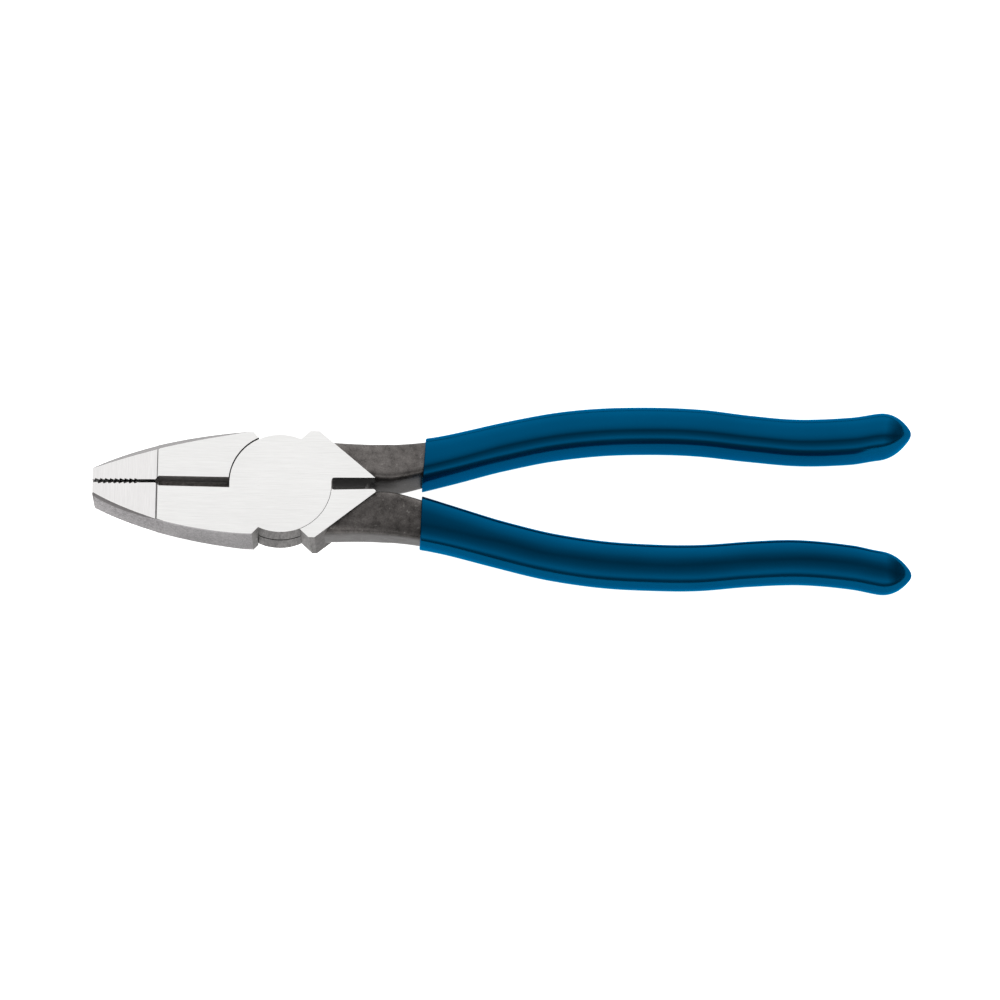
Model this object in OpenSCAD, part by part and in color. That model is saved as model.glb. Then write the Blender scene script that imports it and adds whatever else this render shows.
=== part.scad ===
// Lineman's pliers: two forged halves in a lap joint, one flush rivet, two dipped grips.
// Row frame: origin on the pivot axis at the back ground face, jaws towards -X, handles towards +X, +Z up.

/* [Head] */
// Thickness of the ground head
head_t = 15.9; // [14:0.1:18]
// Radius of the round lap joint
joint_r = 14.75; // [14.7:0.01:14.8]
// Distance from the pivot axis to the nose
jaw_len = 54.4; // [54:0.1:56]
// Half width of the head at the jaw heels
heel_y = 15.4; // [15.2:0.1:15.6]
// Half width of the head at the handle shoulders
hump_y = 16.1; // [15.9:0.1:16.3]
// Distance from the pivot axis to the line where the nose taper starts
nose_line = 35.5; // [35:0.1:36]
// Thickness of the nose at its tip
nose_t = 12.8; // [12:0.1:14]

/* [Jaws] */
// Half width of the relief slot at its nose end
slot_y = 1.35; // [1.2:0.05:1.45]
// How much wider each side of the slot is at the joint
slot_flare = 0.15; // [0:0.05:0.25]
// Height of the knife edges above the back face
knife_z = 6.4; // [5.5:0.1:7]
// Half width of the knife bevels at the back face
bevel_y = 3.4; // [3:0.1:4]
// Number of cross grooves in the nose
tooth_count = 9; // [7:1:9]
// Pitch of the cross grooves
tooth_pitch = 1.42; // [1.3:0.01:1.42]
// Depth of the cross grooves
tooth_depth = 0.5; // [0.3:0.05:0.6]
// Width of the ground bevel on one outer edge of each jaw
edge_bevel = 1.3; // [0.8:0.1:1.5]

/* [Pivot] */
// Radius of the rivet's shank
rivet_r = 5; // [4.5:0.1:5.5]
// Radius of the rivet's two flush heads
rivet_head_r = 6.4; // [6:0.1:7]
// Depth of each countersunk head
rivet_head_h = 1.8; // [1.5:0.1:2.2]
// Radial clearance of the rivet in the back half
run_gap = 0.05; // [0.02:0.01:0.1]
// Clearance between the two joint discs, and from a disc to the other half's shoulder
lap_gap = 0.08; // [0.05:0.01:0.12]
// Radial clearance from a disc to the other half's jaw
jaw_clear = 0.35; // [0.1:0.05:0.4]
// Angle between the halves as the tool lies closed in the hand, in degrees
rest_open = 0.4; // [0:0.1:1.5]

/* [Grips] */
// Where the dipped grips start
grip_start = 41.6; // [41:0.1:43]
// Where the dipped grips end
grip_end = 183.6; // [183:0.1:185]
// Wall of the dipped grips
grip_wall = 1.5; // [1.2:0.05:1.6]

/* [Hidden] */

mid_z = head_t / 2;
big = 100;            // longer than any cut needs
jaw_gap = 0.03;       // from the closing plane to a tooth's crest when fully closed
flat_y = 0.31;        // from the closing plane to the flat behind the teeth
slot_front = 35.2;    // nose end of the relief slot
lead = 1;             // 45 degree lead from the flat into the slot
tip_x = 27;           // rear tip of the ground flat
tip_y = 2.4;          // where the slanted edge of the flat meets its tip
// The slot behind the joint, from the middle plane: at the joint and at the tip, front half first.
rear_slot = [[2, 2.2], [1.55, 1.05]];
teeth_start = 41.5;   // first cross groove, counted towards the nose
knife_run = 4;        // depth over which the relief narrows to the knife edge
nose_step = 0.3;      // small step where the nose taper starts
hump_x = 8.4;         // notch end of the shoulder's outer corner
hump_draft = 4.7;     // lean of the shoulder's notch face, in degrees

grip_round = 0.82;    // the dip rounds the steel's section off by this much
lean = 0.14;          // how much thinner the handle is on its outer side
inner_slant = 0.9;    // how far the handle's inner side leans, either way from its mid height
sides = 24;           // points round a section
ring_step = 4;        // spacing of the sections
rein_end = 179;       // the steel stops this far out, inside the grip
rein_cap = 7;         // length of the steel's rounded end
grip_cap = 9.6;       // length of the grip's tapered end

// The handle's spine: x, y of its middle, half width and half thickness of the steel,
// and the exponent of its section, where 2 is an ellipse and more is squarer.
SPINE = [
    [12, 8.25, 5.9, 6.9, 4.5], [19, 7.95, 5.8, 6.8, 4.5], [26, 7.7, 5.85, 6.5, 4.4],
    [30, 7.6, 6.1, 6.2, 4.3], [34, 7.85, 6, 5.9, 4.2], [41.6, 9.25, 5.55, 5.45, 4],
    [49.5, 11.1, 5.25, 5.3, 3.6], [64, 14.95, 5.1, 5.25, 3.2], [78.5, 18.25, 5, 5.2, 3.2],
    [93, 20.15, 4.9, 5.15, 3.2], [107.5, 20.8, 4.8, 5.15, 3.2], [122, 20.5, 4.75, 5.15, 3.2],
    [136.5, 19, 4.65, 5.15, 3.2], [151, 18.1, 4.65, 5.1, 3.2], [166, 19.05, 4.65, 5.1, 3.2],
    [174, 20.45, 4.6, 5.1, 3.2], [180, 20.9, 4.7, 5, 3.2], [184, 20.9, 4.7, 5, 3.2]
];

// Smooth curve through a table's points: the value of one column at x.
function span_of(t, x, i = 0) = x <= t[i + 1][0] || i == len(t) - 2 ? i : span_of(t, x, i + 1);
function slope_at(t, i, c) =
    let (a = max(i - 1, 0), b = min(i + 1, len(t) - 1))
    (t[b][c] - t[a][c]) / (t[b][0] - t[a][0]);
function value_at(t, x, c) =
    let (
        i = span_of(t, x),
        w = t[i + 1][0] - t[i][0],
        u = (x - t[i][0]) / w,
        m0 = slope_at(t, i, c) * w,
        m1 = slope_at(t, i + 1, c) * w
    )
    t[i][c] * (2 * pow(u, 3) - 3 * u * u + 1) + m0 * (pow(u, 3) - 2 * u * u + u)
    + t[i + 1][c] * (3 * u * u - 2 * pow(u, 3)) + m1 * (pow(u, 3) - u * u);

// A cubic Bezier curve through n + 1 points.
function bezier(p, n) = [
    for (i = [0 : n]) let (t = i / n, s = 1 - t)
        s * s * s * p[0] + 3 * s * s * t * p[1] + 3 * s * t * t * p[2] + t * t * t * p[3]
];

// One ring of the section at x, grown by a wall, rounded off, and scaled for a rounded end.
// way is 1 where the inner side leans towards the middle plane at the back face, -1 at the front face.
function power(v, e) = sign(v) * pow(abs(v), e);
function ring(x, wall, round_off, scale, way) = [
    for (i = [0 : sides - 1])
        let (
            t = 360 * i / sides,
            shape = value_at(SPINE, x, 4) * round_off,
            s = power(cos(t), 2 / shape),
            w = power(sin(t), 2 / shape),
            half_w = (value_at(SPINE, x, 2) + wall) * scale,
            half_t = (value_at(SPINE, x, 3) + wall) * scale,
            slant = way * inner_slant * scale * w * (1 - s) / 2
        )
        [x, value_at(SPINE, x, 1) + s * half_w + slant, mid_z + w * half_t * (1 - lean * s)]
];

// Rounded end: full section until cap before the end, then down to the tip.
function end_scale(x, end, cap) =
    x < end - cap ? 1 : sin(90 * pow(max(end - x, 0) / cap, 0.75));

// Stations along the handle, shared by the steel and the grip's cavity.
function stations(from, to) =
    let (n = ceil((to - from) / ring_step))
    [for (i = [0 : n]) from + (to - from) * i / n];
grip_stations = concat(
    stations(grip_start, rein_end - rein_cap),
    [for (u = [0.3, 0.55, 0.75, 0.9]) rein_end - rein_cap * (1 - u)]
);
rein_stations = concat(
    stations(SPINE[0][0], grip_start),
    [for (i = [1 : len(grip_stations) - 1]) grip_stations[i]]
);
skin_stations = concat(
    stations(grip_start, grip_end - grip_cap),
    [for (u = [0.2, 0.4, 0.55, 0.7, 0.82, 0.91, 0.97, 0.995]) grip_end - grip_cap * (1 - u)]
);

function steel_rings(xs, way) = [for (x = xs) ring(x, 0, 1, end_scale(x, rein_end, rein_cap), way)];
function skin_rings(xs, way) = [
    for (x = xs) ring(x, grip_wall, grip_round, end_scale(x, grip_end, grip_cap), way)
];
function flat_list(rings) = [for (r = rings) for (p = r) p];

// Triangles between ring a and ring b, and a fan that closes one ring.
function band(a, b) = [
    for (i = [0 : sides - 1])
        let (j = (i + 1) % sides)
        each [[a * sides + i, a * sides + j, b * sides + j], [a * sides + i, b * sides + j, b * sides + i]]
];
function fan(a) = [for (i = [1 : sides - 2]) [a * sides, a * sides + i + 1, a * sides + i]];
function turned(faces) = [for (f = faces) [f[0], f[2], f[1]]];

// Solid through a list of rings.
module loft(rings) {
    n = len(rings);
    polyhedron(
        points = flat_list(rings),
        faces = concat(turned(fan(0)), [for (k = [0 : n - 2]) each turned(band(k, k + 1))], fan(n - 1))
    );
}

// Closed sock: outer rings from mouth to tip, inner rings from mouth to the end of the cavity.
module sock(outer, inner) {
    n = len(outer);
    m = len(inner);
    polyhedron(
        points = flat_list(concat(outer, inner)),
        faces = concat(
            [for (k = [0 : n - 2]) each turned(band(k, k + 1))],
            fan(n - 1),
            [for (k = [0 : m - 2]) each band(n + k, n + k + 1)],
            turned(fan(n + m - 1)),
            band(0, n)
        )
    );
}

// The jaw's curved back, from the nose to the heel, and the outward direction at one of its points.
back_steps = 14;
jaw_back = bezier(
    [[-jaw_len, -3.75], [-jaw_len + 9.5, -9.9], [-27, -14.8], [-10, -heel_y]],
    back_steps
);
function outward(i) =
    let (d = jaw_back[min(i + 1, back_steps)] - jaw_back[max(i - 1, 0)])
    [d[1], -d[0]] / norm(d);

// How far the tapered nose lies below the flat face at x.
nose_drop = (head_t - nose_t) / 2;
function face_drop(x) =
    x > -nose_line ? 0 :
    nose_step + (nose_drop - nose_step) * (-nose_line - x) / (jaw_len - nose_line);

// Plan of the lower jaw, from the closing plane out to its curved back.
module jaw_plan() {
    flat_end = -slot_front - lead - flat_y;
    polygon(concat(
        [[-6, -jaw_gap], [flat_end, -jaw_gap], [flat_end, -flat_y]],
        [[-teeth_start, -flat_y], [-teeth_start, -jaw_gap], [-jaw_len, -jaw_gap]],
        jaw_back,
        [[-8.1, -heel_y], [-5.2, -12.3]]
    ));
}

// Ground bevel along the jaw's back edge: widest in the middle, nothing at either end.
module edge_cut() {
    reach = 1.3;  // how far the cut runs past the edge, as a share of its width
    steep = 1.3;  // height of the bevel over its width
    rings = [
        for (i = [0 : back_steps])
            let (
                p = jaw_back[i],
                n = outward(i),
                c = edge_bevel * max(0.04, pow(sin(180 * i / back_steps), 0.7)),
                z = face_drop(p[0]),
                low = z - (reach - 1) * c * steep,
                high = z + reach * c * steep,
                inner = p - n * reach * c,
                outer = p + n * (reach - 1) * c
            )
            [[inner[0], inner[1], low], [outer[0], outer[1], high], [outer[0], outer[1], low]]
    ];
    polyhedron(
        points = flat_list(rings),
        faces = concat(
            [[0, 1, 2]],
            [
                for (k = [0 : back_steps - 1]) for (i = [0 : 2])
                    let (j = (i + 1) % 3)
                    each [[k * 3 + i, k * 3 + 3 + i, k * 3 + j], [k * 3 + j, k * 3 + 3 + i, k * 3 + 3 + j]]
            ],
            [[back_steps * 3, back_steps * 3 + 2, back_steps * 3 + 1]]
        )
    );
}

// Plan of the ground shoulder that carries the handle. slot is the half's own row of rear_slot.
module shoulder_plan(slot) {
    polygon([
        [8, 1], [4.5, 5], [4.5, 12.35], [hump_x, hump_y - 0.05], [hump_x + 0.3, hump_y],
        [10.8, hump_y], [tip_x, tip_y], [tip_x, slot[1]], [joint_r + 0.7, slot[0]], [joint_r + 0.05, 1]
    ]);
}

// The shoulder's notch face leans back towards the back face.
module hump_cut() {
    lie = atan2(hump_y - 12.4, hump_x - 4.5);
    translate([hump_x, hump_y - 0.05, head_t])
        rotate([0, 0, lie])
            rotate([-hump_draft, 0, 0])
                translate([-big / 2, 0, -big / 2])
                    cube([big, big / 4, big]);
}

// Relief slot, knife edge and back bevel, as one cut between the knives.
module knife_cut() {
    edge = jaw_gap;
    translate([-joint_r, 0, 0])
        rotate([0, -90, 0])
            linear_extrude(slot_front - joint_r)
                polygon([
                    [-1, 1], [-1, -bevel_y - bevel_y / knife_z], [0, -bevel_y], [knife_z, -edge],
                    [knife_z + knife_run, -slot_y], [head_t + 1, -slot_y], [head_t + 1, 1]
                ]);
    // the slot's upper part widens towards the joint, and has a 45 degree lead at its nose end
    translate([0, 0, knife_z + knife_run])
        linear_extrude(head_t)
            polygon([
                [-joint_r, 1], [-joint_r, -slot_y - slot_flare], [-slot_front, -slot_y],
                [-slot_front - lead, -flat_y], [-slot_front - lead, 1]
            ]);
}

// Cross grooves that make the nose's teeth.
module tooth_cuts() {
    for (i = [0 : tooth_count - 1])
        translate([-teeth_start - tooth_pitch * (i + 0.5), 0, -1])
            linear_extrude(head_t + 2)
                scale([tooth_pitch, tooth_depth])
                    polygon([[-0.42, 0], [0.42, 0], [0.1, -1], [-0.1, -1]]);
}

// The nose's taper, taken off both faces.
module nose_taper() {
    for (s = [0, 1])
        translate([0, 0, s * head_t])
            mirror([0, 0, s])
                rotate([90, 0, 0])
                    linear_extrude(big, center = true)
                        polygon([
                            [-nose_line, -1], [-nose_line, nose_step], [-jaw_len, nose_drop],
                            [-jaw_len - 2, nose_drop + 0.15], [-jaw_len - 2, -1]
                        ]);
}

// The rivet's shape, grown all round by a clearance.
module rivet_shape(grow) {
    cylinder(r = rivet_r + grow, h = head_t, $fn = 96);
    for (s = [0, 1])
        translate([0, 0, s * head_t])
            mirror([0, 0, s])
                cylinder(r1 = rivet_head_r + grow, r2 = rivet_r + grow, h = rivet_head_h, $fn = 96);
}

// One half as it lies fully closed: jaw towards -Y, handle towards +Y. top says which lap layer it has.
module half(top) {
    lap_t = mid_z - lap_gap / 2;
    slot = rear_slot[top ? 0 : 1];
    difference() {
        union() {
            // the jaw and the shoulder stop short of the other half's disc
            difference() {
                linear_extrude(head_t) jaw_plan();
                translate([0, 0, -1]) cylinder(r = joint_r + jaw_clear, h = head_t + 2, $fn = 180);
            }
            difference() {
                union() {
                    difference() {
                        linear_extrude(head_t) shoulder_plan(slot);
                        hump_cut();
                    }
                    loft(steel_rings(rein_stations, top ? 1 : -1));
                }
                translate([0, 0, -1]) cylinder(r = joint_r + lap_gap, h = head_t + 2, $fn = 180);
            }
            // this half's own disc, and its roots in the jaw and the shoulder
            translate([0, 0, top ? head_t - lap_t : 0])
                linear_extrude(lap_t) {
                    circle(r = joint_r, $fn = 180);
                    intersection() {
                        circle(r = joint_r + 1, $fn = 180);
                        union() {
                            jaw_plan();
                            shoulder_plan(slot);
                        }
                    }
                }
        }
        knife_cut();
        tooth_cuts();
        nose_taper();
        translate([0, 0, top ? 0 : head_t]) mirror([0, 0, top ? 0 : 1]) edge_cut();
        rivet_shape(top ? 0 : run_gap);
    }
}

module front_side() {
    rotate([0, 0, rest_open / 2]) children();
}

module back_side() {
    rotate([0, 0, -rest_open / 2]) mirror([0, 1, 0]) children();
}

module grip(way) {
    sock(skin_rings(skin_stations, way), steel_rings(grip_stations, way));
}

module front_half() {
    color([0.86, 0.86, 0.85]) front_side() half(true);
}

module back_half() {
    color([0.8, 0.8, 0.79]) back_side() half(false);
}

module pivot_rivet() {
    color([0.7, 0.7, 0.7]) rivet_shape(0);
}

module front_grip() {
    color([0, 0.33, 0.5]) front_side() grip(1);
}

module back_grip() {
    color([0, 0.33, 0.5]) back_side() grip(-1);
}

front_half();
back_half();
pivot_rivet();
front_grip();
back_grip();
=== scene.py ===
"""Lineman pliers: the finished look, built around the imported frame. Metres; the CAD's own axes.

Both halves are cut as solids in millimetres, fully closed, then turned to the rest opening.
Jaws point to -X, handles to +X, the pivot axis is Z and the back face lies on the floor."""

import math

import bmesh
import bpy
from mathutils import Matrix, Vector, noise


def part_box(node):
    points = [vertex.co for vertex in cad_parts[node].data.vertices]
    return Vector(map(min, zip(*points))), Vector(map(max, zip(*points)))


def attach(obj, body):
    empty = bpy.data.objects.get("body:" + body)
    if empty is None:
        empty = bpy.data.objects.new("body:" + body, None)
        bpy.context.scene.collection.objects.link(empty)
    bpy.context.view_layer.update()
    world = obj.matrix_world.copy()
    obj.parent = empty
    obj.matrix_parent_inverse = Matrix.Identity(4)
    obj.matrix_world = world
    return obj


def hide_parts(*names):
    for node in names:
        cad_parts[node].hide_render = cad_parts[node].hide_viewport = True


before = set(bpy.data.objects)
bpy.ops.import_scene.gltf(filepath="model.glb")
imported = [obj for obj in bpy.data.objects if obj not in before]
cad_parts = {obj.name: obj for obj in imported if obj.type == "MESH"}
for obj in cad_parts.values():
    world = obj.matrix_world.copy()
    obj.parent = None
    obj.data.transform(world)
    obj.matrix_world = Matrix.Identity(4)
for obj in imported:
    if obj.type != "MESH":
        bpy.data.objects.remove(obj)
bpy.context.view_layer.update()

MM = 0.001

# Sizes are in millimetres and angles in degrees. The rivet is as long as the head is thick.
HEAD_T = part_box("pivot_rivet")[1][2] / MM
MID = HEAD_T / 2
JOINT_R = 14.75
JAW_LEN = 54.4
HEEL_Y = 15.4
# The shoulder: its outer corner, the end of its flat side, the start of its slanted wall, and its
# rear tip.
HUMP_X, HUMP_Y = 8.4, 16.1
HUMP_END = 11.1
SLANT_X = 10.2
TIP_X, TIP_Y = 27.0, 2.4
# The nose: where its taper starts, how thick it is at its tip, and the ground step at its start.
NOSE_LINE = 35.5
NOSE_T = 12.8
NOSE_DEEP = (HEAD_T - NOSE_T) / 2
NOSE_STEP = 0.3
# How far the step runs, by half, and the all but level stretch behind it.
STEP_RUN = {True: 0.5, False: 0.3}
LEVEL_RUN, LEVEL_DROP = 1.2, 0.02
# The relief slot between the jaws: its nose end, half width, flare towards the joint, and its lead
# into the flat.
SLOT_FRONT = 35.2
SLOT_Y = 1.35
SLOT_FLARE = 0.15
LEAD = 1.0
# The slot behind the joint, from the middle plane: at the joint and at the tip, by half.
REAR_SLOT = {True: (2.0, 2.2), False: (1.55, 1.05)}
# The knives: height of the edge, height of the wall's slope above it, half width of the bevels.
KNIFE_Z = 6.4
KNIFE_RUN = 4.0
BEVEL_Y = 3.4
# From the closing plane to the knives, to the flat behind the teeth, and to the teeth's crests.
JAW_GAP = 0.03
FLAT_Y = 0.34
CREST_Y = 0.2
# The cross grooves of the nose: where they start, their count and pitch by half, and their depth.
TEETH_START = 41.0
TEETH = {True: (8, 1.49), False: (9, 1.42)}
TOOTH_DEPTH = 0.41
# Width of the bevels on the jaw's curved back edge: the main one, at the front half's back face and
# at the back half's front face, and a small one at the front half's front face.
EDGE_BEVEL = 1.9
FRONT_BEVEL = 0.62
# The rivet's shank and countersunk heads, and its clearance in the back half.
RIVET_R = 5.0
RIVET_HEAD_R = 6.4
RIVET_HEAD_H = 1.8
RUN_GAP = 0.05
# Between the two discs of the lap joint, and the chamfer of a disc's inner edge.
LAP_GAP = 0.08
LAP_CHAMFER = 0.38
# Round the other half's disc: the jaw's recess, which stands a little aside, and the shoulder's.
RECESS_GAP = 0.28
RECESS_ASIDE = (-0.03, -0.17, 0)
SHOULDER_GAP = 0.14
# How far each wall leans from upright.
HUMP_DRAFT = 3.1
HEEL_DRAFT = 1.9
SLANT_DRAFT = 2.2
NOSE_DRAFT = 2.9
REST_OPEN = 0.4
# The dipped grip: its ends, wall, length of its rounded end, and height of its soft waves.
GRIP_START = 41.6
GRIP_END = 183.6
GRIP_WALL = 1.5
GRIP_CAP = 9.6
GRIP_WAVE = 0.05
# Squareness of its section: at the mouth, further on, and on the front grip's outer side.
GRIP_SQUARE_MOUTH, GRIP_SQUARE, GRIP_SQUARE_OUT = 3.1, 2.42, 3.0
# The steel inside the grip: its end, and the length of its rounded end.
REIN_END = 179.0
REIN_CAP = 7.0
# A rounded end starts with a small flat, so that its first ring isn't a point.
BLUNT, BLUNT_FALL = 0.22, 0.12
# Half the length of a cutting tool: more than any cut needs.
REACH = 50
# The handle is thinner on its outer side, and its inner side leans, either way from mid height.
LEAN = 0.14
INNER_SLANT = 0.9

# The handle's spine: x, y of its middle, half width, half thickness, and squareness of its section.
SPINE = [
    (12, 8.25, 5.9, 6.9, 5.2), (19, 7.95, 5.8, 6.8, 5.6), (26, 7.7, 5.85, 6.5, 6.4),
    (30, 7.6, 6.1, 6.2, 6.6), (34, 7.85, 6, 5.9, 6.4), (41.6, 9.25, 5.55, 5.45, 5.6),
    (49.5, 11.1, 5.25, 5.3, 3.8), (64, 14.95, 5.1, 5.25, 3.2), (78.5, 18.25, 5, 5.2, 3.1),
    (93, 20.15, 4.9, 5.15, 3), (107.5, 20.8, 4.8, 5.15, 3), (122, 20.5, 4.75, 5.15, 3),
    (136.5, 19, 4.65, 5.15, 3), (151, 18.1, 4.65, 5.1, 3), (166, 19.05, 4.65, 5.1, 3),
    (174, 20.45, 4.6, 5.1, 3), (180, 20.9, 4.7, 5, 3), (184, 20.9, 4.7, 5, 3),
]


# ---------------------------------------------------------------- curves and sections

def slope_at(i, c):
    """Slope of a column of the spine at its point i, from the points on both sides."""
    a, b = SPINE[max(i - 1, 0)], SPINE[min(i + 1, len(SPINE) - 1)]
    return (b[c] - a[c]) / (b[0] - a[0])


def value_at(x, c):
    """One column of the spine at x, on a smooth curve through its points."""
    i = 0
    while i < len(SPINE) - 2 and x > SPINE[i + 1][0]:
        i += 1
    p, q = SPINE[i], SPINE[i + 1]
    w = q[0] - p[0]
    u = (x - p[0]) / w
    return (
        p[c] * (2 * u**3 - 3 * u * u + 1) + slope_at(i, c) * w * (u**3 - 2 * u * u + u)
        + q[c] * (3 * u * u - 2 * u**3) + slope_at(i + 1, c) * w * (u**3 - u * u)
    )


def signed_power(v, e):
    """v to the power e, with the sign of v kept."""
    return math.copysign(abs(v) ** e, v)


def end_scale(x, end, cap):
    """1 along the handle, then down to 0 at its rounded end."""
    if x < end - cap:
        return 1.0
    left = max(end - x, 0)
    blunt = BLUNT * (1 - math.exp(-left / BLUNT_FALL))
    return math.sin(math.pi / 2 * min(1, (left + blunt) / (cap + BLUNT)) ** 0.75)


def handle_point(x, t, wall, scale, way, square=None):
    """A point of the handle's surface at x, at angle t round its section. way is 1 where the inner
    side leans towards the middle plane at the back face, and -1 where it does so at the front.
    square, if given, stands in for the spine's own squareness."""
    shape = square or value_at(x, 4)
    s = signed_power(math.cos(t), 2 / shape)
    w = signed_power(math.sin(t), 2 / shape)
    half_w = (value_at(x, 2) + wall) * scale
    half_t = (value_at(x, 3) + wall) * scale
    across = s * half_w + way * INNER_SLANT * scale * w * (1 - s) / 2
    return Vector((x, value_at(x, 1) + across, MID + w * half_t * (1 - LEAN * s)))


def bezier(p, n):
    """n + 1 points along the curve with the four control points p."""
    out = []
    for i in range(n + 1):
        t = i / n
        s = 1 - t
        k = (s**3, 3 * s * s * t, 3 * s * t * t, t**3)
        out.append((sum(a * q[0] for a, q in zip(k, p)), sum(a * q[1] for a, q in zip(k, p))))
    return out


# ---------------------------------------------------------------- solids

def new_object(name, verts, faces):
    """An object of these faces, which all face outwards."""
    mesh = bpy.data.meshes.new(name)
    mesh.from_pydata([tuple(v) for v in verts], [], faces)
    mesh.validate()
    obj = bpy.data.objects.new(name, mesh)
    bpy.context.scene.collection.objects.link(obj)
    bm = bmesh.new()
    bm.from_mesh(mesh)
    bmesh.ops.recalc_face_normals(bm, faces=bm.faces)
    bm.to_mesh(mesh)
    bm.free()
    return obj


def box_mesh(x0, x1, y0, y1, z0, z1):
    """Corners and faces of a box between two values on each axis."""
    verts = [(x, y, z) for z in (z0, z1) for y in (y0, y1) for x in (x0, x1)]
    faces = [(0, 2, 3, 1), (4, 5, 7, 6), (0, 1, 5, 4), (2, 6, 7, 3), (0, 4, 6, 2), (1, 3, 7, 5)]
    return verts, faces


def prism(points, low, high, axis="Z"):
    """An outline extruded along the axis, from low to high. Its points are (x, y), or (y, z) for
    axis X and (x, z) for axis Y."""
    n = len(points)
    if axis == "Z":
        verts = [(x, y, end) for end in (low, high) for x, y in points]
    elif axis == "X":
        verts = [(end, y, z) for end in (low, high) for y, z in points]
    else:
        verts = [(x, end, z) for end in (low, high) for x, z in points]
    faces = [tuple(range(n))[::-1], tuple(range(n, 2 * n))]
    faces += [(i, (i + 1) % n, n + (i + 1) % n, n + i) for i in range(n)]
    return new_object("tool", verts, faces)


def circle(r, n=180):
    """The n corners of a circle's outline."""
    return [(r * math.cos(2 * math.pi * i / n), r * math.sin(2 * math.pi * i / n)) for i in range(n)]


def skin(rings, n):
    """Faces of a closed skin over that many rings of n points, with both ends closed."""
    faces = [tuple(range(n))[::-1], tuple(range((rings - 1) * n, rings * n))]
    return faces + [
        (k * n + i, k * n + (i + 1) % n, (k + 1) * n + (i + 1) % n, (k + 1) * n + i)
        for k in range(rings - 1) for i in range(n)
    ]


def lathe(profile, n=128):
    """A closed solid of revolution about Z through (r, z) pairs."""
    verts = [(x, y, z) for r, z in profile for x, y in circle(r, n)]
    return new_object("tool", verts, skin(len(profile), n))


def apply_modifiers(obj):
    """Puts the shape that obj's modifiers make in place of its mesh."""
    deps = bpy.context.evaluated_depsgraph_get()
    done = bpy.data.meshes.new_from_object(obj.evaluated_get(deps))
    old = obj.data
    obj.modifiers.clear()
    obj.data = done
    bpy.data.meshes.remove(old)


def combine(obj, tool, operation):
    """obj becomes its union, difference or intersection with tool, which is used up."""
    mod = obj.modifiers.new("cut", "BOOLEAN")
    mod.operation = operation
    mod.solver = "EXACT"
    mod.object = tool
    apply_modifiers(obj)
    mesh = tool.data
    bpy.data.objects.remove(tool)
    bpy.data.meshes.remove(mesh)


def mirror_y(obj):
    """Turns a half into its mirror image across the middle plane."""
    obj.data.transform(Matrix.Scale(-1, 4, (0, 1, 0)))
    obj.data.flip_normals()


# ---------------------------------------------------------------- the two heads

def face_drop(x):
    """How far the tapered nose lies below the flat face at x."""
    if x > -NOSE_LINE:
        return 0.0
    return NOSE_STEP + (NOSE_DEEP - NOSE_STEP) * (-NOSE_LINE - x) / (JAW_LEN - NOSE_LINE)


def jaw_back(steps):
    """The jaw's curved back edge, from the nose to the heel."""
    return bezier([(-JAW_LEN, -3.75), (-JAW_LEN + 9.5, -9.9), (-27, -14.8), (-10, -HEEL_Y)], steps)


def jaw_plan(front):
    """Plan of a half's jaw, teeth included. A groove deepens towards the nose, then ends steeply."""
    flat_end = -SLOT_FRONT - 0.2
    pts = [(-6, -JAW_GAP), (flat_end, -JAW_GAP), (flat_end, -FLAT_Y), (-TEETH_START, -FLAT_Y)]
    count, pitch = TEETH[front]
    groove = [(0.03, 0), (0.74, 1), (0.84, 0.95), (0.93, 0)]  # shares of the pitch and of the depth
    for i in range(count):
        x = -TEETH_START - pitch * i
        pts += [(x - pitch * along, -CREST_Y - TOOTH_DEPTH * deep) for along, deep in groove]
    pts += [(-JAW_LEN + 0.5, -CREST_Y), (-JAW_LEN, -CREST_Y - 0.3)]
    return pts + jaw_back(56) + [(-7.1, -HEEL_Y), (-4.2, -12.3)]


def shoulder_plan(front):
    """Plan of the shoulder. Its slot's inner corner is rounded, and so is the back half's tip."""
    near, far = REAR_SLOT[front]
    plan = [(8, 1), (4.5, 5), (4.5, 12.35)]
    plan += [(HUMP_X, HUMP_Y - 0.05), (HUMP_X + 0.3, HUMP_Y), (HUMP_END, HUMP_Y)]
    if front:
        plan += [(TIP_X + 0.3, TIP_Y - 0.1), (TIP_X + 0.3, far)]
    else:
        plan += [
            (TIP_X + 0.45, 2.8), (TIP_X + 0.6, 1.9), (TIP_X + 0.55, 1.5), (TIP_X + 0.3, 1.2),
            (TIP_X - 0.1, 1.06), (TIP_X - 0.6, far + 0.03),
        ]
    corner = [(0.75, near), (0.35, near - 0.12), (0.12, near - 0.4), (0.05, near - 0.75)]
    return plan + [(JOINT_R + out, y) for out, y in corner] + [(JOINT_R, 0.8)]


def lean_cut(obj, start, end, z, draft):
    """Cuts obj along the line from start to end, at height z, on the line's left side. The cut leans
    by draft degrees: outwards going down if it is above 0."""
    wedge = new_object("tool", *box_mesh(-REACH, REACH, 0, REACH / 2, -REACH, REACH))
    lie = math.atan2(end[1] - start[1], end[0] - start[0])
    wedge.data.transform(
        Matrix.Translation((*start, z)) @ Matrix.Rotation(lie, 4, "Z")
        @ Matrix.Rotation(math.radians(draft), 4, "X")
    )
    combine(obj, wedge, "DIFFERENCE")


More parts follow.
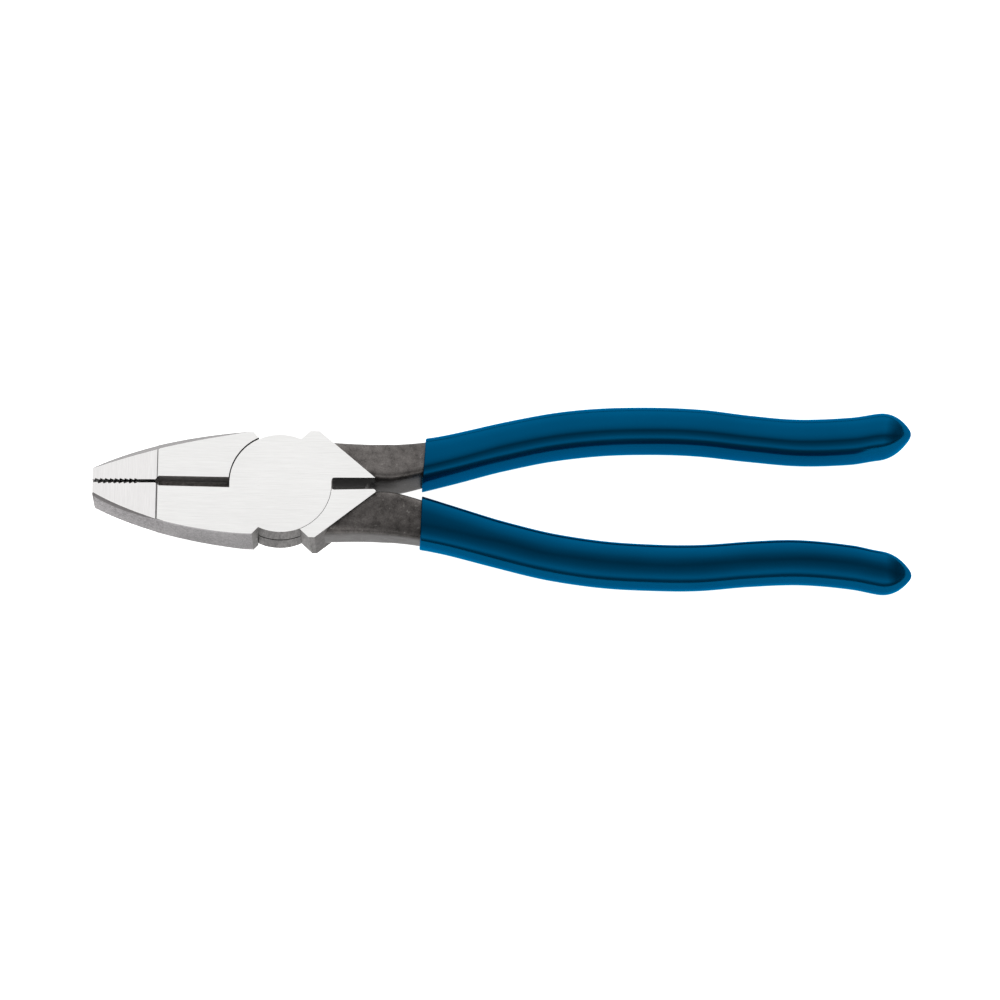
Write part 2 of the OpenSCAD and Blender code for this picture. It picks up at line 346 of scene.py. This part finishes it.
def edge_bevel_tool(low_face, width, steep, first=0.0, last=1.0):
    """The sliver that a bevel on the jaw's back edge takes off, on the back face or the front one.
    It runs from first to last, as shares of the edge, and is widest halfway."""
    steps, reach, least = 57, 1.3, 0.05
    back = jaw_back(steps)
    verts = []
    rows = range(max(0, round(first * steps)), round(last * steps) + 1)
    for i in rows:
        p = back[i]
        a, b = back[max(i - 1, 0)], back[min(i + 1, steps)]
        d = Vector((b[0] - a[0], b[1] - a[1])).normalized()
        n = Vector((d.y, -d.x))
        share = (i / steps - first) / (last - first)
        c = width * max(least, math.sin(math.pi * min(max(share, 0), 1)) ** 0.7)
        z = face_drop(p[0])
        inner = Vector(p) - n * reach * c
        outer = Vector(p) + n * (reach - 1) * c
        low = z - (reach - 1) * c * steep
        high = z + reach * c * steep
        for q, h in ((inner, low), (outer, high), (outer, low)):
            verts.append((q.x, q.y, h if low_face else HEAD_T - h))
    end = 3 * (len(rows) - 1)
    faces = [(0, 1, 2), (end, end + 2, end + 1)]
    for k in range(len(rows) - 1):
        for i in range(3):
            j = (i + 1) % 3
            faces.append((k * 3 + i, k * 3 + 3 + i, k * 3 + 3 + j, k * 3 + j))
    return new_object("tool", verts, faces)


def head(top):
    """One half's ground head, closed, with its jaw towards -Y. top says which lap layer it has."""
    lap = MID - LAP_GAP / 2
    own = (HEAD_T - lap, HEAD_T) if top else (0, lap)
    other = (-1, HEAD_T - lap) if top else (lap, HEAD_T + 1)
    body = prism(jaw_plan(top), 0, HEAD_T)
    lean_cut(body, (-5.2, -12.3), (-8.1, -HEEL_Y), HEAD_T, HEEL_DRAFT)
    recess = prism(circle(JOINT_R + RECESS_GAP), *other)
    recess.data.transform(Matrix.Translation(RECESS_ASIDE))
    combine(body, recess, "DIFFERENCE")
    shoulder = prism(shoulder_plan(top), 0, HEAD_T)
    lean_cut(shoulder, (4.5, 12.4), (HUMP_X, HUMP_Y - 0.05), HEAD_T, -HUMP_DRAFT)
    slant_z, slant_draft = (0, -SLANT_DRAFT) if top else (HEAD_T, SLANT_DRAFT)
    lean_cut(shoulder, (SLANT_X, HUMP_Y), (TIP_X, TIP_Y), slant_z, slant_draft)
    combine(shoulder, prism(circle(JOINT_R + SHOULDER_GAP), *other), "DIFFERENCE")
    combine(body, shoulder, "UNION")
    inside, outside = own if top else own[::-1]
    step = LAP_CHAMFER if top else -LAP_CHAMFER
    disc = [(JOINT_R - LAP_CHAMFER, inside), (JOINT_R, inside + step), (JOINT_R, outside)]
    combine(body, lathe(disc if top else disc[::-1], 180), "UNION")
    # The knife's bevel and the wall above it, then the relief slot with its flare and lead.
    combine(body, prism([
        (1, -1), (-BEVEL_Y - BEVEL_Y / KNIFE_Z, -1), (-BEVEL_Y, 0), (-JAW_GAP, KNIFE_Z),
        (-SLOT_Y, KNIFE_Z + KNIFE_RUN), (-SLOT_Y, HEAD_T + 1), (1, HEAD_T + 1),
    ], -SLOT_FRONT, -JOINT_R, axis="X"), "DIFFERENCE")
    combine(body, prism([
        (-JOINT_R, 1), (-JOINT_R, -SLOT_Y - SLOT_FLARE), (-SLOT_FRONT, -SLOT_Y),
        (-SLOT_FRONT - LEAD, -FLAT_Y), (-SLOT_FRONT - LEAD, 1),
    ], KNIFE_Z + KNIFE_RUN, HEAD_T + 2), "DIFFERENCE")
    # The nose's taper on both faces. Its tool runs past the nose, at the same slope.
    run, past = STEP_RUN[top], 2
    slope = (NOSE_DEEP - run) / (JAW_LEN - NOSE_LINE - run - LEVEL_RUN)
    taper = [
        (-NOSE_LINE + 1, -1), (-NOSE_LINE, 0), (-NOSE_LINE - run, run),
        (-NOSE_LINE - run - LEVEL_RUN, run + LEVEL_DROP),
        (-JAW_LEN - past, NOSE_DEEP + past * slope), (-JAW_LEN - past, -1),
    ]
    for outline in (taper, [(x, HEAD_T - z) for x, z in taper]):
        combine(body, prism(outline, -2 * REACH, 2 * REACH, axis="Y"), "DIFFERENCE")
    combine(body, edge_bevel_tool(top, EDGE_BEVEL, 1.5), "DIFFERENCE")
    if top:
        combine(body, edge_bevel_tool(False, FRONT_BEVEL, 2.5, -0.25, 0.52), "DIFFERENCE")
        lean_cut(body, (-JAW_LEN, -1), (-JAW_LEN, 1), HEAD_T - NOSE_DEEP, -NOSE_DRAFT)
    # The rivet's bore, countersunk at both ends. Its tool stands out of both faces.
    grow, out = 0 if top else RUN_GAP, 0.5
    mouth_r = RIVET_HEAD_R + grow + out * (RIVET_HEAD_R - RIVET_R) / RIVET_HEAD_H
    bore = [
        (mouth_r, -out), (RIVET_R + grow, RIVET_HEAD_H),
        (RIVET_R + grow, HEAD_T - RIVET_HEAD_H), (mouth_r, HEAD_T + out),
    ]
    combine(body, lathe(bore), "DIFFERENCE")
    return body


# ---------------------------------------------------------------- materials

class Nodes:
    """A short way to write a node tree."""

    def __init__(self, tree):
        self.tree = tree
        tree.nodes.clear()

    def add(self, kind, inputs=None, **props):
        """Adds a node, sets its props, and links or sets its inputs."""
        node = self.tree.nodes.new(kind)
        for key, value in props.items():
            setattr(node, key, value)
        for key, value in (inputs or {}).items():
            if isinstance(value, bpy.types.NodeSocket):
                self.tree.links.new(value, node.inputs[key])
            else:
                node.inputs[key].default_value = value
        return node

    def math(self, operation, *values):
        return self.add("ShaderNodeMath", dict(enumerate(values)), operation=operation).outputs[0]

    def weighted(self, first, *others):
        """The sum of (value, weight) pairs."""
        total = self.math("MULTIPLY", *first)
        for pair in others:
            total = self.math("ADD", total, self.math("MULTIPLY", *pair))
        return total

    def remap(self, value, start, end, low, high):
        """value, taken from the range start..end to the range low..high."""
        return self.add("ShaderNodeMapRange", {
            "Value": value, "From Min": start, "From Max": end, "To Min": low, "To Max": high,
        }).outputs["Result"]

    def mixed(self, factor, a, b, **props):
        inputs = {"Factor": factor, "A": a, "B": b}
        node = self.add("ShaderNodeMix", inputs, data_type="RGBA", **props)
        return node.outputs["Result"]

    def scaled(self, color, by):
        node = self.add("ShaderNodeVectorMath", {0: color, "Scale": by}, operation="SCALE")
        return node.outputs[0]

    def ramp(self, fac, stops):
        """A ramp through (position, tone) stops. A tone is a grey value or a colour."""
        node = self.add("ShaderNodeValToRGB", {"Fac": fac})
        elements = node.color_ramp.elements
        while len(elements) < len(stops):
            elements.new(0.5)
        for element, (pos, value) in zip(elements, stops):
            element.position = pos
            element.color = (*value, 1) if isinstance(value, tuple) else (value, value, value, 1)
        return node.outputs["Color"]

    def coordinates(self, kind="Object"):
        return self.add("ShaderNodeTexCoord").outputs[kind]

    def split(self, vector):
        return self.add("ShaderNodeSeparateXYZ", {"Vector": vector}).outputs

    def off_middle(self, z):
        """How far a height is from the middle of the tool's thickness."""
        return self.math("ABSOLUTE", self.math("SUBTRACT", z, MID * MM))

    def noise(self, lines, detail, rough):
        """Noise that lines scales by axis, per metre: a small number makes long marks that way."""
        place = self.add("ShaderNodeMapping", {"Vector": self.coordinates(), "Scale": lines})
        node = self.add("ShaderNodeTexNoise", {
            "Vector": place.outputs["Vector"], "Scale": 1.0, "Detail": detail, "Roughness": rough,
        })
        return node.outputs["Fac"]

    def bump(self, height, strength, distance):
        node = self.add(
            "ShaderNodeBump", {"Height": height, "Strength": strength, "Distance": distance},
        )
        return node.outputs[0]

    def surface(self, inputs):
        """Finishes a material with a principled shader."""
        shader = self.add("ShaderNodeBsdfPrincipled", inputs)
        self.add("ShaderNodeOutputMaterial", {"Surface": shader.outputs[0]})


def material(name):
    """A new material and the writer of its node tree."""
    mat = bpy.data.materials.new(name)
    mat.use_nodes = True
    return mat, Nodes(mat.node_tree)


def ground_steel(
    name, lines, light, dark, rough, bump, metal=1.0, worn=None, spread=0.15, graze=1.0,
):
    """Ground steel. lines scales the marks by axis; light and dark are its two tones, spread how
    softly they mix, and graze how bright it is at a low angle. worn is the tone that it wears to
    along the edges of the two flat faces."""
    mat, n = material(name)
    fine = n.noise(lines, 4.0, 0.6)
    broad = n.noise(tuple(v * 0.4 for v in lines), 2.0, 0.5)
    cloud = n.noise((60, 60, 60), 2.0, 0.5)
    tone = n.weighted((fine, 0.6), (broad, 0.25), (cloud, 0.15))
    color = n.ramp(tone, [(0.5 - spread, dark), (0.5 + spread, light)])
    if worn:
        place = n.split(n.coordinates())
        ragged = n.math("MULTIPLY", n.math("SUBTRACT", fine, 0.5), 0.0016)
        edge = n.remap(n.math("ADD", n.off_middle(place["Z"]), ragged), 0.0062, 0.008, 0.0, 1.0)
        color = n.mixed(edge, color, (*worn, 1))
        color = n.scaled(color, n.remap(place["X"], -0.05, -0.01, 1.06, 0.84))
    n.surface({
        "Base Color": color, "Metallic": metal, "Specular Tint": (graze, graze, graze, 1),
        "Roughness": n.remap(fine, 0.3, 0.7, rough - 0.05, rough + 0.07),
        "Normal": n.bump(fine, bump, 0.00002),
    })
    return mat


def forged_steel_and_shade():
    """Forging scale, mottled and rubbed bright in specks, with painted shade: darker at mid height
    and near black behind the slot.
    """
    mat, n = material("forged_scale_painted_shade")
    fine = n.noise((2600, 2600, 2600), 5.0, 0.65)
    mottle = n.noise((420, 420, 420), 4.0, 0.6)
    broad = n.noise((70, 90, 90), 3.0, 0.5)
    speck = n.noise((900, 900, 900), 2.0, 0.5)
    tone = n.weighted((mottle, 0.4), (broad, 0.25), (fine, 0.35))
    color = n.ramp(tone, [(0.36, (0.036, 0.032, 0.03)), (0.64, (0.19, 0.175, 0.167))])
    rubbed = n.math("MULTIPLY", n.ramp(speck, [(0.66, 0.0), (0.74, 1.0)]), 0.35)
    color = n.mixed(rubbed, color, (0.4, 0.38, 0.36, 1))
    place = n.split(n.coordinates())
    # Painted shade: the handle's sides, round mid height, are darkened.
    color = n.scaled(color, n.remap(n.off_middle(place["Z"]), 0.0038, 0.0058, 0.42, 1.0))
    # Painted shade: near black on the inner side, where the handle leaves the slot behind the joint.
    by_tip = n.remap(place["X"], 0.0262, 0.031, 1.0, 0.0)
    by_slot = n.remap(n.math("ABSOLUTE", place["Y"]), 0.0016, 0.0034, 1.0, 0.0)
    color = n.mixed(n.math("MULTIPLY", by_tip, by_slot), color, (0.02, 0.018, 0.017, 1))
    n.surface({
        "Base Color": color, "Metallic": 0.75, "Roughness": n.remap(mottle, 0.3, 0.7, 0.3, 0.46),
        "Normal": n.bump(n.weighted((mottle, 0.6), (fine, 0.4)), 0.35, 0.00008),
    })
    return mat


def dipped_plastic():
    """Glossy dipped plastic, deep blue, whose highlights stay blue."""
    mat, n = material("dipped_plastic")
    cloud = n.noise((35, 60, 60), 3.0, 0.5)
    grain = n.noise((900, 900, 900), 2.0, 0.5)
    n.surface({
        "Base Color": n.ramp(cloud, [(0.3, (0.0, 0.055, 0.131)), (0.7, (0.0, 0.063, 0.149))]),
        "Roughness": n.remap(cloud, 0.3, 0.7, 0.1, 0.17),
        "Normal": n.bump(n.weighted((grain, 0.15), (cloud, 0.85)), 0.12, 0.0002),
        "Metallic": 0.72, "Specular IOR Level": 0.0, "Specular Tint": (0.0, 0.68, 1.0, 1),
    })
    return mat


# The head's finishes are copies of one ground steel. FACE and NOSE keep its own bright tone and
# differ in the run of their marks; each of the others has its tone set to paint the shade, or on the
# knife and slot the light, that its facets show, as noted at each.
FACE = ground_steel(
    "ground_face", (220, 7000, 7000), (0.965, 0.96, 0.95), (0.84, 0.835, 0.825), 0.36, 0.3,
)
NOSE = ground_steel(
    "ground_nose", (7000, 260, 7000), (0.97, 0.955, 0.95), (0.83, 0.815, 0.81), 0.4, 0.35,
)
# Painted shade: the jaw's side is a darker copy of the ground steel, its tone set for the shade that
# the side shows.
SIDE = ground_steel(
    "ground_side_painted_shade", (2600, 2600, 2600), (0.3, 0.287, 0.291), (0.12, 0.114, 0.117), 0.42, 0.45,
    worn=(0.38, 0.37, 0.375), spread=0.08,
)
# Painted shade: a darker copy of the ground steel on the bevel along the jaw's back edge.
BEVEL = ground_steel(
    "edge_bevel", (1200, 1200, 1200), (0.28, 0.27, 0.27), (0.17, 0.165, 0.165), 0.45, 0.3,
)
# Painted shade: a still darker copy of the ground steel on the bevel's steeper facets.
EDGE = ground_steel(
    "edge_facet_painted_shade", (1200, 1200, 1200), (0.16, 0.15, 0.15), (0.09, 0.085, 0.085), 0.45, 0.3,
)
# Turned marks with painted shade: a dark copy of the ground steel, its tone set for the shade on the
# disc's rim and the shoulder's walls.
RIM = ground_steel(
    "turned_rim_painted_shade", (2600, 2600, 500), (0.16, 0.151, 0.146), (0.02, 0.018, 0.016), 0.42, 0.5,
    spread=0.1,
)
# Painted shade: a near black copy of the ground steel on the shoulder's slanted wall, for the shadow
# along the flat's slanted edge.
SLANT = ground_steel(
    "slanted_wall_painted_shade", (1500, 1500, 1500), (0.14, 0.13, 0.125), (0.02, 0.018, 0.017), 0.42, 0.5,
    spread=0.12, graze=0.8,
)
# Painted light: a lighter, less metallic copy than the dark walls near it, so that the slot's walls
# in the narrow gap between the jaws look lit.
SLOT = ground_steel(
    "slot_wall_painted_light", (1500, 1500, 1500), (0.4, 0.38, 0.375), (0.2, 0.19, 0.185), 0.6, 0.3, metal=0.4,
)
# Painted shade: a near black copy of the ground steel, put where shade falls in the recess, the lap
# joint and the slot behind the joint.
PAINTED_SHADE = ground_steel(
    "painted_shade_wall", (1500, 1500, 1500), (0.04, 0.038, 0.036), (0.015, 0.014, 0.013), 0.6, 0.3,
)
# Painted shade: a dark copy of the ground steel on the teeth, for the shade in the narrow gap
# between the closed jaws.
TOOTH = ground_steel(
    "tooth_wall_painted_shade", (900, 900, 900), (0.14, 0.135, 0.13), (0.07, 0.067, 0.064), 0.42, 0.3,
)
# Painted light: a bright, less metallic copy of the ground steel on the knife's bevel, which gets
# little light down in the gap.
KNIFE = ground_steel(
    "knife_bevel_painted_light", (900, 900, 900), (0.85, 0.82, 0.8), (0.4, 0.38, 0.37), 0.6, 0.3, metal=0.5,
)
REIN = forged_steel_and_shade()
GRIP = dipped_plastic()
HEAD_FINISHES_AND_SHADES = {
    "face": FACE, "nose": NOSE, "side": SIDE, "rim": RIM, "slot": SLOT, "dark": PAINTED_SHADE, "knife": KNIFE,
    "bevel": BEVEL, "edge": EDGE, "tooth": TOOTH, "slant": SLANT,
}


# ---------------------------------------------------------------- the pieces

def to_frame(obj, front):
    """From the closed half in millimetres to its place at rest, in metres."""
    if not front:
        mirror_y(obj)
    turn = math.radians(REST_OPEN / 2) * (1 if front else -1)
    obj.data.transform(Matrix.Scale(MM, 4) @ Matrix.Rotation(turn, 4, "Z"))


def smooth(obj, angle):
    """Smooth shading, but sharp where two faces meet at more than angle degrees."""
    obj.data.shade_smooth()
    obj.data.set_sharp_from_angle(angle=math.radians(angle))


def finish_or_shade_of(c, normal):
    """Which finish a facet of the closed head has, from its middle c and the way it faces. Most
    finishes are copies of one ground steel whose tones paint shade, and on the knife and slot paint
    light, so this choice by facing paints the light and shade of each facet. The lengths below only
    tell neighbouring features apart."""
    r = math.hypot(c.x, c.y)
    outward = (normal.x * c.x + normal.y * c.y) / max(r, 0.01)
    rise = abs(normal.z)
    by_disc = abs(r - JOINT_R) < 0.6
    # The dark finish below is painted shade: the recess's wall, the disc's chamfer, the faces inside
    # the lap joint and the slot behind the joint.
    if by_disc and (outward < -0.5 or 0.3 < rise < 0.9):
        return "dark"  # the recess's wall and the disc's chamfer
    if rise > 0.9:
        if 0.5 < c.z < HEAD_T - 0.5 and c.x > -JOINT_R:
            return "dark"  # the faces inside the lap joint
        return "nose" if c.x < -NOSE_LINE else "face"
    if by_disc and outward > 0.5 and c.x > -JOINT_R * 0.97:
        return "rim"
    if c.x < -SLOT_FRONT and c.y > -1.7:
        return "tooth"
    if c.x < -7 and c.y < -3.2 and abs(normal.y) > 0.4 and rise > 0.2:
        return "bevel" if rise > 0.45 else "edge"
    if c.x < -JOINT_R and c.y > -3.6 and normal.y > 0.3:
        return "knife" if rise > 0.2 else "slot"
    if c.x > 14 and abs(c.y) < 2.5:
        return "dark"  # the slot behind the joint
    if c.x > HUMP_X + 1 and normal.x > 0.3:
        return "slant"
    return "side" if c.x < -6.5 else "rim"


def make_head(front):
    """The ground head of one half: jaw, disc and shoulder."""
    obj = head(front)
    obj.name = obj.data.name = "front_head" if front else "back_head"
    for mat in HEAD_FINISHES_AND_SHADES.values():
        obj.data.materials.append(mat)
    finish_and_shade_keys = list(HEAD_FINISHES_AND_SHADES)
    for poly in obj.data.polygons:
        poly.material_index = finish_and_shade_keys.index(finish_or_shade_of(poly.center, poly.normal))
    to_frame(obj, front)
    smooth(obj, 24)
    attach(obj, "front_half" if front else "back_half")
    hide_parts("front_half" if front else "back_half")


def grid_mesh(name, rings):
    """A closed solid whose skin runs over rings of equal length."""
    return new_object(name, [p for ring in rings for p in ring], skin(len(rings), len(rings[0])))


def make_rein(front):
    """The bare forged handle, from inside the shoulder to its end inside the grip. Its first ring
    lies along the shoulder's slanted wall, tucked in behind it."""
    name = "front_rein" if front else "back_rein"
    way = 1 if front else -1
    sides, tuck, root_x, clear_x, bare_steps = 84, 1.6, 19, 44.0, 30
    edge_slope = (TIP_X - SLANT_X) / (HUMP_Y - TIP_Y)
    angles = [2 * math.pi * i / sides for i in range(sides)]
    rings = []
    for k in range(bare_steps + 1):
        ring = []
        for t in angles:
            y = handle_point(root_x, t, 0, 1, way).y
            start = min(TIP_X - (y - TIP_Y) * edge_slope, TIP_X) - tuck
            ring.append(handle_point(start + (clear_x - start) * k / bare_steps, t, 0, 1, way))
        rings.append(ring)
    x = clear_x
    while x < REIN_END - 0.01:
        x += 4.0 if x < REIN_END - REIN_CAP - 4 else 0.5
        scale = max(end_scale(x, REIN_END, REIN_CAP), 0.02)
        rings.append([handle_point(min(x, REIN_END), t, 0, scale, way) for t in angles])
    obj = grid_mesh(name, rings)
    obj.data.materials.append(REIN)
    to_frame(obj, front)
    smooth(obj, 50)
    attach(obj, "front_half" if front else "back_half")


def thicker_inside(x, front):
    """How much thicker the dip is on the grip's inner side: it grows towards the front grip's tip,
    and wanes towards the back one's."""
    share = min(max((x - 140) / 32, 0), 1)
    share = share * share * (3 - 2 * share)
    return 0.32 + 0.4 * share if front else 0.22 - 0.45 * share


def make_grip(front):
    """The dipped grip: outer skin, rounded mouth, and inner skin along the steel."""
    name = "front_dip" if front else "back_dip"
    way = 1 if front else -1
    mouth, mouth_lean = (GRIP_START, 0.06) if front else (GRIP_START - 0.7, -0.02)
    sides, lip, lean_run, square_run, tip_rings, clear = 96, 0.35, 12, 22, 28, 0.01
    angles = [2 * math.pi * i / sides for i in range(sides)]

    def leaned(p, x):
        """The dip line isn't quite square to the handle; the lean is gone a little further on."""
        fade = max(0, 1 - (x - mouth) / lean_run)
        return p + Vector((mouth_lean * (p.y - value_at(x, 1)) * fade, 0, 0))

    outer = []
    xs = [mouth + lip * (1 - math.cos(a * math.pi / 12)) for a in range(7)]
    walls = [GRIP_WALL - lip * (1 - math.sin(a * math.pi / 12)) for a in range(7)]
    x = mouth + 1.0
    while x < GRIP_END - GRIP_CAP:
        xs.append(x)
        walls.append(GRIP_WALL)
        x += 1.0
    for i in range(tip_rings):
        xs.append(GRIP_END - GRIP_CAP * (1 - i / tip_rings) ** 1.6)
        walls.append(GRIP_WALL)
    seed = Vector((0, 0, 3.0 if front else 11.0))
    for x, wall in zip(xs, walls):
        scale = end_scale(x, GRIP_END, GRIP_CAP)
        fade = min((x - mouth) / square_run, 1)
        mouth_square = GRIP_SQUARE_MOUTH - (GRIP_SQUARE_MOUTH - GRIP_SQUARE) * fade
        ring = []
        for t in angles:
            outside = front and math.cos(t) > 0
            square = max(GRIP_SQUARE_OUT if outside else GRIP_SQUARE, mouth_square)
            p = handle_point(x, t, wall, scale, way, square)
            p.y += min(math.cos(t), 0) * scale * thicker_inside(x, front)
            inward = (Vector((x, value_at(x, 1), MID)) - p).normalized()
            wave = noise.noise(Vector((p.x / 14, p.y / 7, p.z / 7)) + seed)
            ring.append(leaned(p + inward * (wave + 1) * GRIP_WAVE * scale, x))
        outer.append(ring)
    inner = []
    x = REIN_END - 0.2
    while x > mouth:
        scale = max(end_scale(x, REIN_END, REIN_CAP), 0.03)
        inner.append([leaned(handle_point(x, t, clear, scale, way), x) for t in angles])
        x -= 0.5 if x > REIN_END - REIN_CAP - 1 else 3.0
    inner.append([leaned(handle_point(mouth, t, clear, 1, way), mouth) for t in angles])
    obj = grid_mesh(name, inner + outer)
    obj.data.materials.append(GRIP)
    to_frame(obj, front)
    smooth(obj, 50)
    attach(obj, "front_half" if front else "back_half")
    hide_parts("front_grip" if front else "back_grip")


for is_front in (True, False):
    make_head(is_front)
    make_rein(is_front)
    make_grip(is_front)

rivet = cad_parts["pivot_rivet"]
rivet.data.materials.clear()
rivet.data.materials.append(FACE)


# ---------------------------------------------------------------- floor, light and camera

def make_floor():
    """A white sheet that also glows, so that the tool lies on an all but shadowless ground."""
    half, thick, below = 6, 0.02, 0.0002  # metres
    obj = new_object("floor", *box_mesh(-half, half, -half, half, -thick, -below))
    mat, n = material("pale_floor")
    n.surface({
        "Base Color": n.ramp(n.noise((3, 3, 3), 2.0, 0.5), [(0.3, 0.9), (0.7, 0.93)]),
        "Roughness": 0.7, "Emission Color": (1, 1, 1, 1), "Emission Strength": 0.95,
    })
    obj.data.materials.append(mat)


def make_world():
    """A studio dome whose brightness changes with the angle round X: 0 is the +Y horizon, 90 the
    zenith, 180 the -Y horizon. A broad soft box over the +Y side, a dark gap by the zenith, a
    smaller box low on the -Y side, and a falloff towards both ends of the tool. The camera itself
    sees plain white."""
    world = bpy.data.worlds.new("studio")
    world.use_nodes = True
    bpy.context.scene.world = world
    n = Nodes(world.node_tree)
    way = n.split(n.coordinates("Generated"))
    turn = n.math("DIVIDE", n.math("ARCTAN2", way["Z"], way["Y"]), 2 * math.pi)
    stops = [
        (0, 0.05), (2, 0.05), (6, 1.0), (24, 1.03), (38, 0.93), (54, 0.8), (66, 0.68), (76, 0.55),
        (84, 0.36), (90, 0.2), (95, 0.1), (103, 0.2), (113, 0.29), (122, 0.4), (132, 0.58),
        (146, 0.8), (154, 0.62), (163, 0.16), (172, 0.08), (180, 0.08),
    ]
    dome = n.ramp(turn, [(angle / 360, tone) for angle, tone in stops])
    ends = n.ramp(n.math("ABSOLUTE", way["X"]), [(0.4, 1.0), (0.85, 0.12)])
    light = n.mixed(1.0, dome, ends, blend_type="MULTIPLY")
    studio = n.add("ShaderNodeBackground", {"Color": light, "Strength": 1.75})
    plain = n.add("ShaderNodeBackground", {"Color": (1, 1, 1, 1), "Strength": 1.0})
    seen = n.add("ShaderNodeLightPath").outputs["Is Camera Ray"]
    mix = n.add("ShaderNodeMixShader", {0: seen, 1: studio.outputs[0], 2: plain.outputs[0]})
    n.add("ShaderNodeOutputWorld", {"Surface": mix.outputs[0]})


def make_camera():
    """Looks down steeply from the -Y side, level with the tool but for a slight roll."""
    tilt, turn, roll = math.radians(-17.52), math.radians(1.64), math.radians(-1.24)
    look = (
        Matrix.Rotation(roll, 4, "Z") @ Matrix.Rotation(turn, 4, "Y") @ Matrix.Rotation(tilt, 4, "X")
    )
    offset = Matrix.Translation((63.78 * MM, -2.48 * MM, 2321.33 * MM))
    cam = bpy.data.cameras.new("camera")
    obj = bpy.data.objects.new("camera", cam)
    bpy.context.scene.collection.objects.link(obj)
    obj.matrix_world = Matrix.Translation((0, 0, MID * MM)) @ look.inverted() @ offset
    cam.sensor_width = 36
    cam.lens = 288
    cam.clip_start, cam.clip_end = 0.05, 50
    cam.dof.use_dof = False
    bpy.context.scene.camera = obj


make_floor()
make_world()
make_camera()
bpy.context.scene.view_settings.view_transform = "Standard"
bpy.context.scene.view_settings.look = "None"
